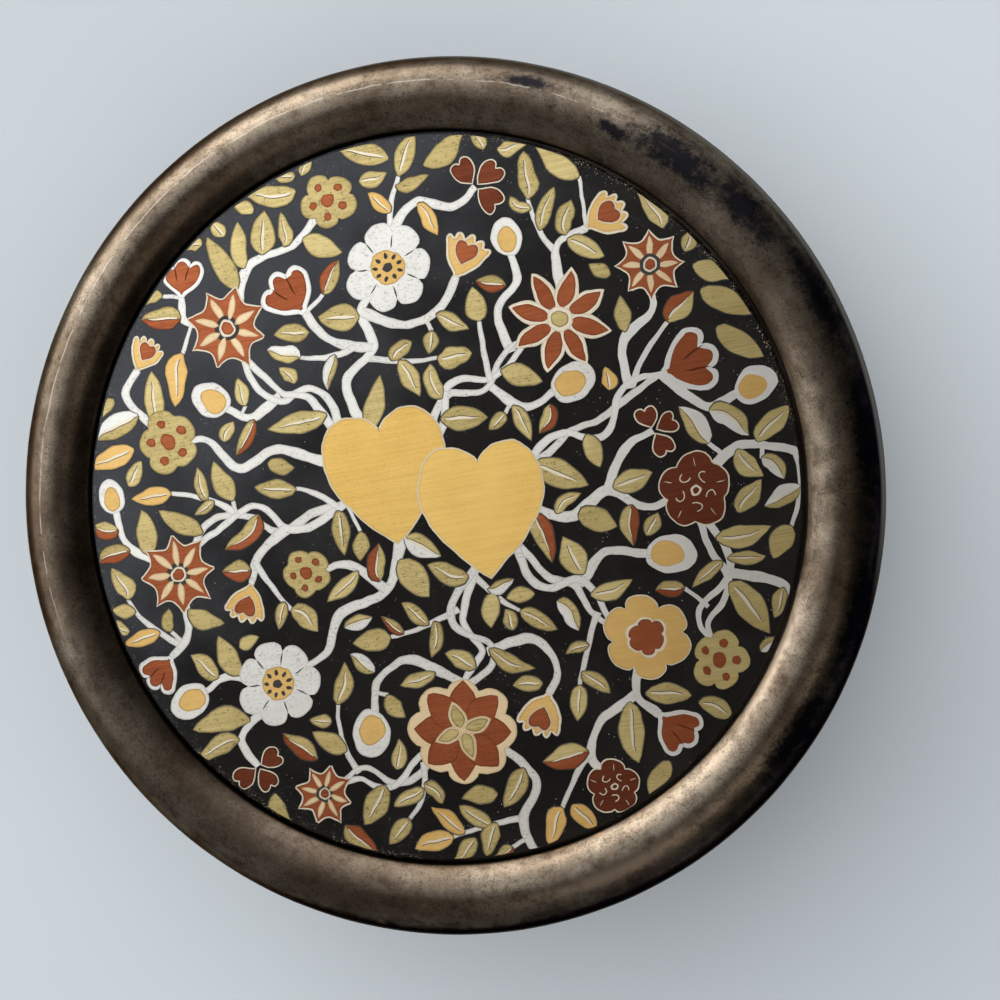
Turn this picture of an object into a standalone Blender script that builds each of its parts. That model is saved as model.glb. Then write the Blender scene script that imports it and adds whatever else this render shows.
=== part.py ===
# Round trinket box in silver plate: a low drum with an inner lip, a lift-off lid with a
# half-round rolled rim, and a flat lacquered disc set into the top of the lid.
# Metres, +Z up. The origin is the middle of the foot, on the surface the box stands on.

import math

import bmesh
import bpy

MM = 0.001

# Whole box
RIM_RADIUS = 47.5 * MM          # widest point, round the lid's rolled rim
HEIGHT = 36.0 * MM              # foot to the crest of the rim
SIDES = 72                      # facets round every turned piece
CURVE_STEP = math.radians(15)   # longest facet round a moulding's section
EDGE_EASE = 0.25 * MM           # small chamfer on cut edges

# Lid
ROLL_RADIUS = 4.4 * MM          # half-round section of the rim
ROLL_INNER_ANGLE = math.radians(57)   # from the crest inwards to the disc's joint
ROLL_TUCK_ANGLE = math.radians(150)   # from the crest outwards and under, to the skirt
LID_SHEET = 1.0 * MM            # thickness of the lid's metal
SKIRT_LENGTH = 3.8 * MM         # straight wall below the rolled rim

# Disc in the lid
DISC_THICKNESS = 1.2 * MM
DISC_SINK = 0.12 * MM           # disc's face below the inner edge of the rim
DISC_GAP = 0.3 * MM             # joint round the disc
SEAT_GAP = 0.3 * MM             # between faces that rest on each other

# Lower box
BODY_SHEET = 1.0 * MM           # side wall
FLOOR_SHEET = 1.1 * MM
FLOOR_FILLET = 1.8 * MM         # inside, between floor and wall
LIP_SHEET = 0.9 * MM            # ring that stands up inside the lid's skirt
LIP_CLEARANCE = 0.3 * MM        # lip to skirt, all round
LIP_HEADROOM = 2.6 * MM         # lip's top edge to the underside of the lid
LIP_BELOW_SEAM = 4.5 * MM       # how far the ring is soldered down inside the wall
BEAD_RADIUS = 2.6 * MM          # moulding round the base
BEAD_PROUD = 0.8 * MM           # how far it stands out from the wall
FOOT_WIDTH = 3.2 * MM           # flat ring that touches the table
FOOT_RAISE = 1.2 * MM           # underside above the table, inside that ring

# Lid, measured up from the lower edge of its skirt
ROLL_CENTRE_R = RIM_RADIUS - ROLL_RADIUS
ROLL_CENTRE_Z = SKIRT_LENGTH - ROLL_RADIUS * math.cos(ROLL_TUCK_ANGLE)
LID_DEPTH = ROLL_CENTRE_Z + ROLL_RADIUS
SIDE_RADIUS = ROLL_CENTRE_R + ROLL_RADIUS * math.sin(ROLL_TUCK_ANGLE)
SKIRT_INNER = SIDE_RADIUS - LID_SHEET
RECESS_RADIUS = ROLL_CENTRE_R - ROLL_RADIUS * math.sin(ROLL_INNER_ANGLE)
RIM_EDGE_Z = ROLL_CENTRE_Z + ROLL_RADIUS * math.cos(ROLL_INNER_ANGLE)
RECESS_FLOOR_Z = RIM_EDGE_Z - DISC_SINK - DISC_THICKNESS - SEAT_GAP
LID_UNDERSIDE_Z = RECESS_FLOOR_Z - LID_SHEET

# Where the pieces stand
LID_Z = HEIGHT - LID_DEPTH
DISC_Z = LID_Z + RECESS_FLOOR_Z + SEAT_GAP
BODY_TOP = LID_Z - SEAT_GAP


def arc(centre, radius, *stops):
    # Points on a circle, with one at each stop; angles run from straight up towards the outside.
    angles = [stops[0]]
    for start, end in zip(stops, stops[1:]):
        steps = math.ceil(abs(end - start) / CURVE_STEP)
        angles += [start + (end - start) * step / steps for step in range(1, steps + 1)]
    return [
        (centre[0] + radius * math.sin(angle), centre[1] + radius * math.cos(angle))
        for angle in angles
    ]


def lid_outline():
    roll_centre = (ROLL_CENTRE_R, ROLL_CENTRE_Z)
    outside = arc(roll_centre, ROLL_RADIUS, -ROLL_INNER_ANGLE, 0, math.pi / 2, ROLL_TUCK_ANGLE)
    # The inside of the rolled sheet runs from the skirt round to the recess's wall.
    hollow_radius = ROLL_RADIUS - LID_SHEET
    recess_back = RECESS_RADIUS + LID_SHEET
    from_skirt = math.pi - math.asin((SKIRT_INNER - ROLL_CENTRE_R) / hollow_radius)
    to_recess = math.asin((recess_back - ROLL_CENTRE_R) / hollow_radius)
    inside = arc(roll_centre, hollow_radius, from_skirt, to_recess)
    return [
        (0, RECESS_FLOOR_Z),
        (RECESS_RADIUS, RECESS_FLOOR_Z),
        *outside,
        (SIDE_RADIUS, EDGE_EASE),
        (SIDE_RADIUS - EDGE_EASE, 0),
        (SKIRT_INNER, 0),
        *inside,
        (recess_back, LID_UNDERSIDE_Z),
        (0, LID_UNDERSIDE_Z),
    ]


def disc_outline():
    radius = RECESS_RADIUS - DISC_GAP
    return [
        (0, DISC_THICKNESS),
        (radius - EDGE_EASE, DISC_THICKNESS),
        (radius, DISC_THICKNESS - EDGE_EASE),
        (radius, 0),
        (0, 0),
    ]


def body_outline():
    inner_radius = SIDE_RADIUS - BODY_SHEET
    floor_top = FOOT_RAISE + FLOOR_SHEET
    fillet_centre = (inner_radius - FLOOR_FILLET, floor_top + FLOOR_FILLET)
    lip_outer = SKIRT_INNER - LIP_CLEARANCE
    lip_inner = lip_outer - LIP_SHEET
    lip_top = LID_Z + LID_UNDERSIDE_Z - LIP_HEADROOM
    lip_bottom = BODY_TOP - LIP_BELOW_SEAM
    bead_centre = (SIDE_RADIUS + BEAD_PROUD - BEAD_RADIUS, BEAD_RADIUS)
    bead_start = math.asin((SIDE_RADIUS - bead_centre[0]) / BEAD_RADIUS)
    foot_inner = bead_centre[0] - FOOT_WIDTH
    return [
        (0, floor_top),
        *arc(fillet_centre, FLOOR_FILLET, math.pi, math.pi / 2),
        (inner_radius, lip_bottom),
        (lip_inner, lip_bottom),
        (lip_inner, lip_top),
        (lip_outer - EDGE_EASE, lip_top),
        (lip_outer, lip_top - EDGE_EASE),
        (lip_outer, BODY_TOP),
        (SIDE_RADIUS - EDGE_EASE, BODY_TOP),
        (SIDE_RADIUS, BODY_TOP - EDGE_EASE),
        *arc(bead_centre, BEAD_RADIUS, bead_start, math.pi / 2, math.pi),
        (foot_inner, 0),
        (foot_inner - FOOT_RAISE, FOOT_RAISE),
        (0, FOOT_RAISE),
    ]


def finish_material(name, color, roughness, metallic):
    material = bpy.data.materials.new(name)
    material.use_nodes = True
    shader = material.node_tree.nodes["Principled BSDF"]
    shader.inputs["Base Color"].default_value = (*color, 1)
    shader.inputs["Roughness"].default_value = roughness
    shader.inputs["Metallic"].default_value = metallic
    return material


def turned(name, outline, material, height, parent):
    # Spins an outline that starts and ends on the axis into one closed body.
    bm = bmesh.new()
    corners = [bm.verts.new((radius, 0, z)) for radius, z in outline]
    edges = [bm.edges.new(pair) for pair in zip(corners, corners[1:])]
    bmesh.ops.spin(
        bm, geom=corners + edges, cent=(0, 0, 0), axis=(0, 0, 1),
        angle=2 * math.pi, steps=SIDES, use_merge=True,
    )
    bmesh.ops.remove_doubles(bm, verts=bm.verts, dist=0.001 * MM)
    bmesh.ops.recalc_face_normals(bm, faces=bm.faces)
    mesh = bpy.data.meshes.new(name)
    bm.to_mesh(mesh)
    bm.free()
    mesh.shade_smooth()
    mesh.set_sharp_from_angle(angle=math.radians(35))
    mesh.materials.append(material)
    piece = bpy.data.objects.new(name, mesh)
    bpy.context.scene.collection.objects.link(piece)
    piece.parent = parent
    piece.location.z = height
    return piece


def build():
    for old in list(bpy.data.objects):
        bpy.data.objects.remove(old, do_unlink=True)
    box = bpy.data.objects.new("trinket_box", None)
    bpy.context.scene.collection.objects.link(box)
    silver = finish_material("tarnished_silver", (0.33, 0.29, 0.24), 0.34, 1.0)
    lacquer = finish_material("black_lacquer", (0.022, 0.022, 0.027), 0.3, 0.0)
    turned("box_body", body_outline(), silver, 0, box)
    turned("lid", lid_outline(), silver, LID_Z, box)
    turned("lid_disc", disc_outline(), lacquer, DISC_Z, box)


build()
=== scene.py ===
import math

import bpy
import numpy as np
from mathutils import Matrix, Vector


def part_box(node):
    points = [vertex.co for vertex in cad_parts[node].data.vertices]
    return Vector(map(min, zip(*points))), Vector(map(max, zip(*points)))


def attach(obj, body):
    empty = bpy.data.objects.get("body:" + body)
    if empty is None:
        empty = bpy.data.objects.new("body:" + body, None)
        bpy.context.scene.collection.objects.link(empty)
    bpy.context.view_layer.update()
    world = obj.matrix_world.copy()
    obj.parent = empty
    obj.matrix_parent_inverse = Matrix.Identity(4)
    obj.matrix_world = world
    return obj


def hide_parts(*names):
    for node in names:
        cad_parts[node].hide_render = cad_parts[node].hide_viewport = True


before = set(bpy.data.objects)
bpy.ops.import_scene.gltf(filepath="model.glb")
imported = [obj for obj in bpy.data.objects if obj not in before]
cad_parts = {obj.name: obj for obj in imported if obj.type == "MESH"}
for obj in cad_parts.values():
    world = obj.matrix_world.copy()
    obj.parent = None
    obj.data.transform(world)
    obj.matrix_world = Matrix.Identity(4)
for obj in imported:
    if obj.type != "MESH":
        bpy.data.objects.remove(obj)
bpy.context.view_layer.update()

# A round silver plated box with a lift-off lid, a rolled rim and an inlaid lacquer disc.
# Shapes are worked out in millimetres and put into the meshes in metres.
mm = 0.001
rng = np.random.default_rng(7)


# Shader maths

class Wire:
    # One output socket; arithmetic on it adds Math nodes to the same tree.
    def __init__(self, tree, socket):
        self.tree = tree
        self.socket = socket

    def math(self, operation, *values):
        node = self.tree.nodes.new("ShaderNodeMath")
        node.operation = operation
        for k, value in enumerate(values):
            connect(self.tree, node.inputs[k], value)
        return Wire(self.tree, node.outputs[0])

    def __add__(self, other):
        return self.math("ADD", self, other)

    def __sub__(self, other):
        return self.math("SUBTRACT", self, other)

    def __rsub__(self, other):
        return self.math("SUBTRACT", other, self)

    def __mul__(self, other):
        return self.math("MULTIPLY", self, other)

    def __truediv__(self, other):
        return self.math("DIVIDE", self, other)

    def __pow__(self, other):
        return self.math("POWER", self, other)

    __radd__ = __add__
    __rmul__ = __mul__

    def size(self):
        return self.math("ABSOLUTE", self)

    def most(self, other):
        return self.math("MAXIMUM", self, other)

    def least(self, other):
        return self.math("MINIMUM", self, other)

    def step(self, low, high):
        # 0 below low, 1 above high and a smooth rise between; low may be above high.
        node = self.tree.nodes.new("ShaderNodeMapRange")
        node.interpolation_type = "SMOOTHSTEP"
        for k, value in enumerate((self, low, high)):
            connect(self.tree, node.inputs[k], value)
        return Wire(self.tree, node.outputs[0])


def cosSin(degrees):
    return math.cos(math.radians(degrees)), math.sin(math.radians(degrees))


def connect(tree, socket, value):
    if isinstance(value, Wire):
        tree.links.new(value.socket, socket)
    elif socket.type == "RGBA":
        socket.default_value = (*value, 1)
    else:
        socket.default_value = value


class Graph:
    # A node tree that is being written; node() adds any node and returns one of its outputs.
    def __init__(self, tree):
        self.tree = tree

    def node(self, kind, settings=None, inputs=None, out=0):
        node = self.tree.nodes.new("ShaderNode" + kind)
        for key, value in (settings or {}).items():
            setattr(node, key, value)
        for key, value in (inputs or {}).items():
            connect(self.tree, node.inputs[key], value)
        return Wire(self.tree, node.outputs[out])

    def mix(self, factor, first, second):
        return self.node("Mix", {"data_type": "RGBA"}, {0: factor, 6: first, 7: second}, 2)

    def dot(self, vector, direction):
        return self.node("VectorMath", {"operation": "DOT_PRODUCT"},
                         {0: vector, 1: direction}, "Value")


class Finish(Graph):
    # A node material on one Principled shader, with patterns read in millimetres of the object.
    def __init__(self, name, plain):
        self.material = bpy.data.materials.new(name)
        self.material.use_nodes = True
        super().__init__(self.material.node_tree)
        self.shader = self.tree.nodes["Principled BSDF"]
        for socket, value in plain.items():
            connect(self.tree, self.shader.inputs[socket], value)
        metres = self.node("TexCoord", out="Object")
        self.place = self.node("VectorMath", {"operation": "SCALE"}, {0: metres, "Scale": 1 / mm})

    def noise(self, scale, detail=3, roughness=0.55, vector=None, distortion=0):
        return self.node("TexNoise", {}, {
            "Vector": vector or self.place, "Scale": scale, "Detail": detail,
            "Roughness": roughness, "Distortion": distortion})

    def specks(self, scale, radius):
        # Round dots, one in each random cell; the radius is a share of the cell.
        distance = self.node("TexVoronoi", {}, {"Vector": self.place, "Scale": scale})
        return distance.step(radius, radius * 0.5)

    def stretched(self, scale, turn):
        # The object's coordinates turned about Z by an angle in degrees, then scaled along each axis.
        rotated = self.node("VectorRotate", {"rotation_type": "Z_AXIS"}, {
            "Vector": self.place, "Angle": math.radians(turn)})
        return self.node("VectorMath", {"operation": "MULTIPLY"}, {0: rotated, 1: scale})

    def parts(self):
        node = self.tree.nodes.new("ShaderNodeSeparateXYZ")
        self.tree.links.new(self.place.socket, node.inputs[0])
        return [Wire(self.tree, output) for output in node.outputs]

    def bump(self, height, distance, strength):
        # Distance is the depth of a full step of the height, in millimetres.
        return self.node("Bump", {}, {
            "Height": height, "Distance": distance * mm, "Strength": strength})

    def between(self, factor, low, high):
        # A straight run from low to high as the factor goes from 0 to 1.
        return self.node("MapRange", {}, {0: factor, 3: low, 4: high})

    def set(self, **wires):
        names = {"color": "Base Color", "roughness": "Roughness", "normal": "Normal"}
        for key, wire in wires.items():
            self.tree.links.new(wire.socket, self.shader.inputs[names[key]])
        return self.material


# Finishes

silverLooks = {
    "bright": (0.190, 0.156, 0.120),
    "worn": (0.098, 0.074, 0.053),
    "tarnish": (0.028, 0.020, 0.014),
    "nearBlack": (0.004, 0.005, 0.009),
    "edgeTint": (0.34, 0.31, 0.29),
    "roughness": (0.22, 0.38),
    # Spots on the rim: blue-black stains; lighter spots, partly wear and partly painted highlight; and
    # darker brown ones, partly tarnish and partly painted shade. Each has its angle from +X, its distance
    # from the axis, and its two half sizes.
    "stains": ((54, 44.0, 6.6, 2.3), (42, 44.6, 6.0, 2.0), (27, 45.5, 7.0, 1.5), (8, 45.9, 9.0, 1.4),
               (-14, 46.0, 9.0, 1.2), (-32, 45.4, 7.0, 1.5), (77, 45.0, 3.6, 0.8), (63, 43.0, 3.0, 0.8)),
    "wearAndHighlightSpots": ((-62, 43.6, 10.0, 1.5), (-24, 39.8, 9.0, 0.9)),
    "wearAndHighlightColor": (0.24, 0.20, 0.16),
    "tarnishAndShadeSpots": ((-120, 41.2, 13.0, 2.4), (180, 45.4, 14.0, 1.8),
                (122, 46.6, 15.0, 1.2), (137, 41.0, 22.0, 1.7)),
    "tarnishAndShadeColor": (0.046, 0.029, 0.019),
    "floorReflectionColor": (0.27, 0.27, 0.25),
    "highlightLineColor": (0.40, 0.36, 0.31),
    "highlightLineRadius": 44.35,
}


def ringStreaks(finish, around, across):
    # Noise stretched round the axis: angle goes in as cosine and sine, so that it has no seam.
    x, y, z = finish.parts()
    reach = ((x * x + y * y) ** 0.5).most(0.01)
    vector = finish.node("CombineXYZ", {}, {0: x / reach * around, 1: y / reach * around,
                                                     2: reach * across})
    return finish.node("TexNoise", {"noise_dimensions": "4D"}, {
        "Vector": vector, "W": z * across, "Scale": 1.0, "Detail": 3, "Roughness": 0.6})


def agedSilver(name, tarnish, rimMarksAndPaintedLight):
    # Warm mottled plate: broad tarnish clouds, brown blotches, hairline scratches and fine pits.
    looks = silverLooks
    finish = Finish(name, {"Metallic": 1.0, "Specular IOR Level": 0.5, "Specular Tint": looks["edgeTint"]})
    clouds = finish.noise(0.10, 4, 0.6)
    blotches = finish.noise(0.55, 5, 0.65, distortion=0.6)
    grains = finish.noise(5.5, 3, 0.7)
    streaks = ringStreaks(finish, 5.0, 1.6)
    color = finish.mix(clouds.step(0.36, 0.66), looks["bright"], looks["worn"])
    dark = (blotches * 0.6 + streaks * 0.25 + grains * 0.25).step(0.5 - tarnish, 0.74)
    color = finish.mix(dark * 0.75, color, looks["tarnish"])
    scratches = (scratchField(finish, 31, 0.9) + scratchField(finish, -58, 0.7)).least(1.0)
    color = finish.mix(scratches * 0.35, color, looks["bright"])
    mottle = finish.noise(2.2, 5, 0.8).step(0.50, 0.66) * finish.noise(0.3, 2).step(0.30, 0.6)
    color = finish.mix((mottle * 0.6 + grains.step(0.50, 0.68) * 0.48).least(0.85), color, looks["tarnish"])
    pits = finish.specks(1.7, 0.12) * finish.noise(0.25).step(0.45, 0.6)
    color = finish.mix(pits * 0.8, color, looks["nearBlack"])
    rough = finish.between(blotches * 0.4 + streaks * 0.25 + grains * 0.35, *looks["roughness"])
    height = pits * -1.0 + grains * 0.55
    if rimMarksAndPaintedLight:
        # Spots of stain, wear and tarnish with painted highlight and shade among them, a painted highlight
        # line, painted shade with some grime low down, and a painted reflection of the floor as a pale band
        # low on the outer face at the far right.
        x, y, z = finish.parts()
        reach = (x * x + y * y) ** 0.5
        # painted reflection: a pale band low on the outer face at the far right stands in for the floor
        # mirrored there
        floorReflectionBand = z.step(33.9, 33.0) * z.step(30.4, 31.6) * reach.step(44, 45)
        pale = floorReflectionBand * y.step(-14, 2) * x.step(-20, -4)
        # the darker brown spots are partly tarnish and partly painted shade; the lighter ones are partly
        # wear and partly painted highlight
        color = finish.mix(spots(finish, looks["tarnishAndShadeSpots"]) * 0.6, color, looks["tarnishAndShadeColor"])
        color = finish.mix(spots(finish, looks["wearAndHighlightSpots"]) * 0.7, color, looks["wearAndHighlightColor"])
        nearBlack = spots(finish, looks["stains"])
        color = finish.mix(nearBlack * 0.93, color, looks["nearBlack"])
        rough = rough + nearBlack * 0.1
        # painted highlight line along the far side of the rim
        color = finish.mix(paintedHighlightLine(finish) * 0.35, color, looks["highlightLineColor"])
        # painted shade with some grime: near-black low on the roll, and along its outer edge towards +X and
        # -Y, where it would mirror the shadowed floor
        shadeAndGrime = (reach + (blotches - 0.5) * 1.2).step(45.2, 46.5) * (x * 0.77 - y * 0.64).step(-6, 26)
        color = finish.mix((z.step(33.2, 32.0) * 0.7).most(shadeAndGrime * 0.88), color, looks["nearBlack"])
        color = finish.mix(pale * 0.8, color, looks["floorReflectionColor"])
    return finish.set(color=color, roughness=rough, normal=finish.bump(height, 0.012, 0.7))


def scratchField(finish, turn, length):
    # Fine lines in one direction: noise drawn out along it, kept only near its middle value.
    field = finish.noise(1.0, 1, 0.4, finish.stretched((0.06 / length, 2.6, 0.8), turn))
    line = (field - 0.5).size().step(0.006, 0.001)
    return line * finish.noise(0.35, 1).step(0.5, 0.62)


def spots(finish, places):
    # Soft-edged spots on the rim, broken up by noise.
    x, y = finish.parts()[:2]
    reach = (x * x + y * y) ** 0.5
    ragged = (finish.noise(0.8, 4, 0.75) - 0.5) * 2.2
    total = None
    for angle, radius, halfLength, halfWidth in places:
        c, s = cosSin(angle)
        along = (y * c - x * s) / halfLength
        ahead = (x * c + y * s).step(0, 1)
        across = (reach - radius) / halfWidth
        spot = ((along * along + across * across) ** 0.5 + ragged).step(1.25, 0.35) * ahead
        total = spot if total is None else total.most(spot)
    return total


def paintedHighlightLine(finish):
    # A painted highlight: a pale line along the far side of the rim, from the left round to the top, where
    # the rim would mirror the window.
    x, y, z = finish.parts()
    reach = (x * x + y * y) ** 0.5
    near = (reach - silverLooks["highlightLineRadius"] - finish.noise(0.35, 3) * 0.5 + 0.25).size().step(0.12, 0.02)
    side = (y * 0.75 - x * 0.65).step(8, 24)
    return near * side * finish.noise(0.5, 2).step(0.38, 0.55) * z.step(33.5, 34.2)


lacquerLooks = {
    "black": (0.0016, 0.0012, 0.0010),
    "brown": (0.0040, 0.0032, 0.0026),
    "mottleAndSheen": (0.030, 0.032, 0.038),
    "dust": (0.42, 0.41, 0.38),
    "jointDust": (0.34, 0.28, 0.18),
    "roughness": (0.22, 0.34),
}


def lacquer():
    # Near-black mottled lacquer with a painted sheen towards one side, faint scuffs, and dust along the
    # joint.
    looks = lacquerLooks
    finish = Finish("blackLacquer", {"Specular IOR Level": 0.22, "IOR": 1.5})
    x, y = finish.parts()[:2]
    reach = (x * x + y * y) ** 0.5
    mottleAndSheen = finish.noise(0.12, 4, 0.6)
    # painted reflection: the lacquer is lightened to a bluish grey towards -X and +Y, as if mirroring the
    # bright side of the room
    side = (y * 0.6 - x * 0.8 + (mottleAndSheen - 0.5) * 30).step(2, 42)
    color = finish.mix(mottleAndSheen.step(0.35, 0.7), looks["black"], looks["brown"])
    color = finish.mix(side, color, looks["mottleAndSheen"])
    far = (x * 0.77 - y * 0.64).step(30, 14)
    edge = reach.step(34.0, 39.0) * far
    dust = finish.specks(2.1, 0.10) * finish.noise(0.4, 2).step(0.5, 0.62)
    dust = (dust + finish.specks(3.3, 0.13) * edge * finish.noise(0.8, 3).step(0.42, 0.55)).least(1.0)
    joint = finish.specks(4.5, 0.3) * reach.step(38.0, 38.8) * far * finish.noise(0.5, 3).step(0.40, 0.62)
    color = finish.mix(dust * 0.75, color, looks["dust"])
    color = finish.mix(joint * 0.85, color, looks["jointDust"])
    scuffs = scratchField(finish, 24, 0.6) + scratchField(finish, -40, 0.8)
    rough = finish.between(finish.noise(0.5, 5, 0.65), *looks["roughness"]) + dust * 0.3 + scuffs * 0.1
    height = dust * 0.5 + finish.noise(2.2, 3) * 0.12
    return finish.set(color=color, roughness=rough, normal=finish.bump(height, 0.02, 0.6))


# Each metal: its slot, the light and dark ends of its colour, how far grain and flecks show, how metallic
# and how rough it is, and how dark the plate's edge is.
metalSays = ("slot", "light", "dark", "grain", "flecks", "metallic", "roughness", "border")
metals = {kind: dict(zip(metalSays, values)) for kind, values in {
    "vine": ("inlay_silver", (0.99, 0.975, 0.925), (0.84, 0.82, 0.77), 0.25, 0.65, 0.95, 0.33, 0.35),
    "leaf": ("inlay_olive", (0.86, 0.70, 0.325), (0.46, 0.35, 0.13), 0.6, 0.95, 0.95, 0.33, 0.75),
    "copper": ("inlay_copper", (0.56, 0.165, 0.068), (0.32, 0.078, 0.030), 0.7, 0.4, 0.96, 0.29, 0.6),
    "darkCopper": ("inlay_copper", (0.27, 0.075, 0.036), (0.14, 0.034, 0.017), 0.7, 0.4, 0.96, 0.30, 0.6),
    "gold": ("inlay_gold", (0.96, 0.635, 0.235), (0.74, 0.455, 0.14), 0.45, 0.3, 0.95, 0.35, 0.5),
    "heart": ("inlay_gold", (1.0, 0.68, 0.215), (0.80, 0.49, 0.125), 0.75, 0.2, 0.95, 0.37, 0.2),
    "paleEdge": ("inlay_silver", (0.97, 0.88, 0.71), (0.80, 0.70, 0.53), 0.2, 0.35, 0.95, 0.37, 0.35),
    "cream": ("inlay_silver", (0.96, 0.76, 0.48), (0.78, 0.58, 0.33), 0.3, 0.35, 0.95, 0.37, 0.4),
    "dark": ("black_lacquer", (0.010, 0.009, 0.008), (0.005, 0.004, 0.004), 0.2, 0.2, 0.0, 0.5, 0.0),
}.items()}
grainTurn = -10   # degrees; the brushing on every plate rises a little to the right


def inlayMetal(kind):
    # Brushed plate with its own tone, fine parallel grain, dark flecks, a few pits, a darkened edge, and
    # painted shade towards the disc's right side.
    looks = metals[kind]
    finish = Finish("inlay_" + kind, {"Metallic": looks["metallic"], "Specular IOR Level": 0.5})
    tone = finish.node("Attribute", {"attribute_name": "tone"}, out="Fac")
    fine = finish.noise(1.0, 2, 0.5, finish.stretched((0.16, 7.5, 1.0), grainTurn))
    broad = finish.noise(1.0, 2, 0.5, finish.stretched((0.07, 2.2, 1.0), grainTurn))
    cloud = finish.noise(0.26, 3)
    grain = (fine * 0.6 + broad * 0.4).step(0.34, 0.66)
    shade = (grain * looks["grain"] + tone * 0.45 + cloud.step(0.3, 0.7) * 0.35) / (looks["grain"] + 0.8)
    color = finish.mix(shade, looks["light"], looks["dark"])
    speckled = finish.noise(4.2, 4, 0.75, finish.stretched((0.6, 1.0, 1.0), grainTurn))
    flecks = speckled.step(0.53, 0.68) * (tone * 0.6 + cloud * 0.9).step(0.20, 0.85)
    pits = finish.specks(2.6, 0.13) * finish.noise(0.5, 2).step(0.38, 0.56)
    inward = finish.node("Attribute", {"attribute_name": "inward"}, out="Fac")
    border = (inward + (speckled - 0.5) * 0.3).step(0.24, 0.02) * looks["border"]
    marks = (flecks * looks["flecks"] + pits * 0.8).least(1.0).most(border)
    deep = tuple(0.22 * value for value in looks["dark"])
    paintedShadeRight = finish.parts()[0].step(8, 36) * 0.4   # painted shade: the metal is darkened towards the disc's right side
    color = finish.mix((marks * 0.85).most(paintedShadeRight), color, deep)
    rough = finish.between(fine, looks["roughness"] - 0.07, looks["roughness"] + 0.1)
    height = grain * 0.35 - speckled.step(0.53, 0.68) * looks["flecks"] * 0.7
    return finish.set(color=color, roughness=rough, normal=finish.bump(height, 0.006, 0.6))


# Turned shells

def circleArc(centre, radius, start, end, step):
    # Points on a circle; degrees run from straight up towards the outside.
    count = max(2, int(abs(end - start) / step) + 1)
    angle = np.radians(np.linspace(start, end, count))
    return [(centre[0] + radius * s, centre[1] + radius * c) for s, c in zip(np.sin(angle), np.cos(angle))]


def turnedMesh(name, profile, around, material, shift=None):
    # Radius and height follow the profile round the axis; both ends of the profile lie on the axis.
    profile = np.array(profile, float)
    turn = np.linspace(0, 2 * math.pi, around, endpoint=False)
    radius, height = profile[1:-1, 0, None], profile[1:-1, 1, None]
    if shift:
        radius, height = shift(radius, height, turn)
    grid = np.stack([radius * np.cos(turn), radius * np.sin(turn), height + 0 * turn], -1)
    rows, columns = grid.shape[:2]
    index = np.arange(rows * columns).reshape(rows, columns)
    after = np.roll(index, -1, 1)
    quads = np.stack([index[:-1], index[1:], after[1:], after[:-1]], -1).reshape(-1, 4)
    top = np.stack([np.full(columns, rows * columns), index[0], after[0]], -1)
    under = np.stack([np.full(columns, rows * columns + 1), after[-1], index[-1]], -1)
    points = np.vstack([grid.reshape(-1, 3), [[0, 0, profile[0, 1]], [0, 0, profile[-1, 1]]]])
    piece = addPiece(name, points, quads.tolist() + top.tolist() + under.tolist(), material)
    piece.data.shade_smooth()
    piece.data.set_sharp_from_angle(angle=math.radians(35))
    return piece


def addObject(name, data):
    thing = bpy.data.objects.new(name, data)
    bpy.context.scene.collection.objects.link(thing)
    return thing


def addPiece(name, points, faces, material):
    mesh = bpy.data.meshes.new(name)
    mesh.from_pydata((np.asarray(points) * mm).tolist(), [], faces)
    mesh.materials.append(material)
    piece = addObject(name, mesh)
    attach(piece, "root")
    return piece


def nodeSize(node):
    # Outer radius, lowest and highest point of a turned node, in millimetres.
    low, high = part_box(node)
    return high[0] / mm, low[2] / mm, high[2] / mm


lidRadius, lidBottom, lidTop = nodeSize("lid")
discRadius, discBottom, discTop = nodeSize("lid_disc")
bodyTop = nodeSize("box_body")[2]

lidForm = {
    "roll": 4.4,          # half-round section of the rim
    "rollFrom": -57,      # degrees from the crest, inwards to the joint
    "rollTo": 150,        # and outwards, round and under to the skirt
    "sheet": 1.0,
    "seat": 0.3,          # disc above the recess's floor
    "joint": 0.3,         # gap round the disc
    "ease": 0.25,         # cut edges
    "edge": 0.12,         # small chamfer on the rim's edge at the joint
    "edgeTurn": 1.5,      # and the degrees of the roll that it takes
    "dent": 0.05,         # deepest of the slow waves hammered and worn into the rim
    "around": 288,
}


def lidProfile():
    form = lidForm
    centre = (lidRadius - form["roll"], lidTop - form["roll"])
    wall = centre[0] + form["roll"] * math.sin(math.radians(form["rollTo"]))
    skirt = wall - form["sheet"]
    hollow = form["roll"] - form["sheet"]
    recess = discRadius + form["joint"]
    floor = discBottom - form["seat"]
    back = recess + form["sheet"]
    hollowFrom = 180 - math.degrees(math.asin((skirt - centre[0]) / hollow))
    hollowTo = math.degrees(math.asin((back - centre[0]) / hollow))
    return [
        (0, floor),
        (recess, floor),
        (recess, lidTop - form["roll"] * (1 - math.cos(math.radians(form["rollFrom"]))) - form["edge"]),
        *circleArc(centre, form["roll"], form["rollFrom"] + form["edgeTurn"], form["rollTo"], 3),
        (wall, lidBottom + form["ease"]),
        (wall - form["ease"], lidBottom),
        (skirt, lidBottom),
        *circleArc(centre, hollow, hollowFrom, hollowTo, 8),
        (back, floor - form["sheet"]),
        (0, floor - form["sheet"]),
    ]


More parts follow.
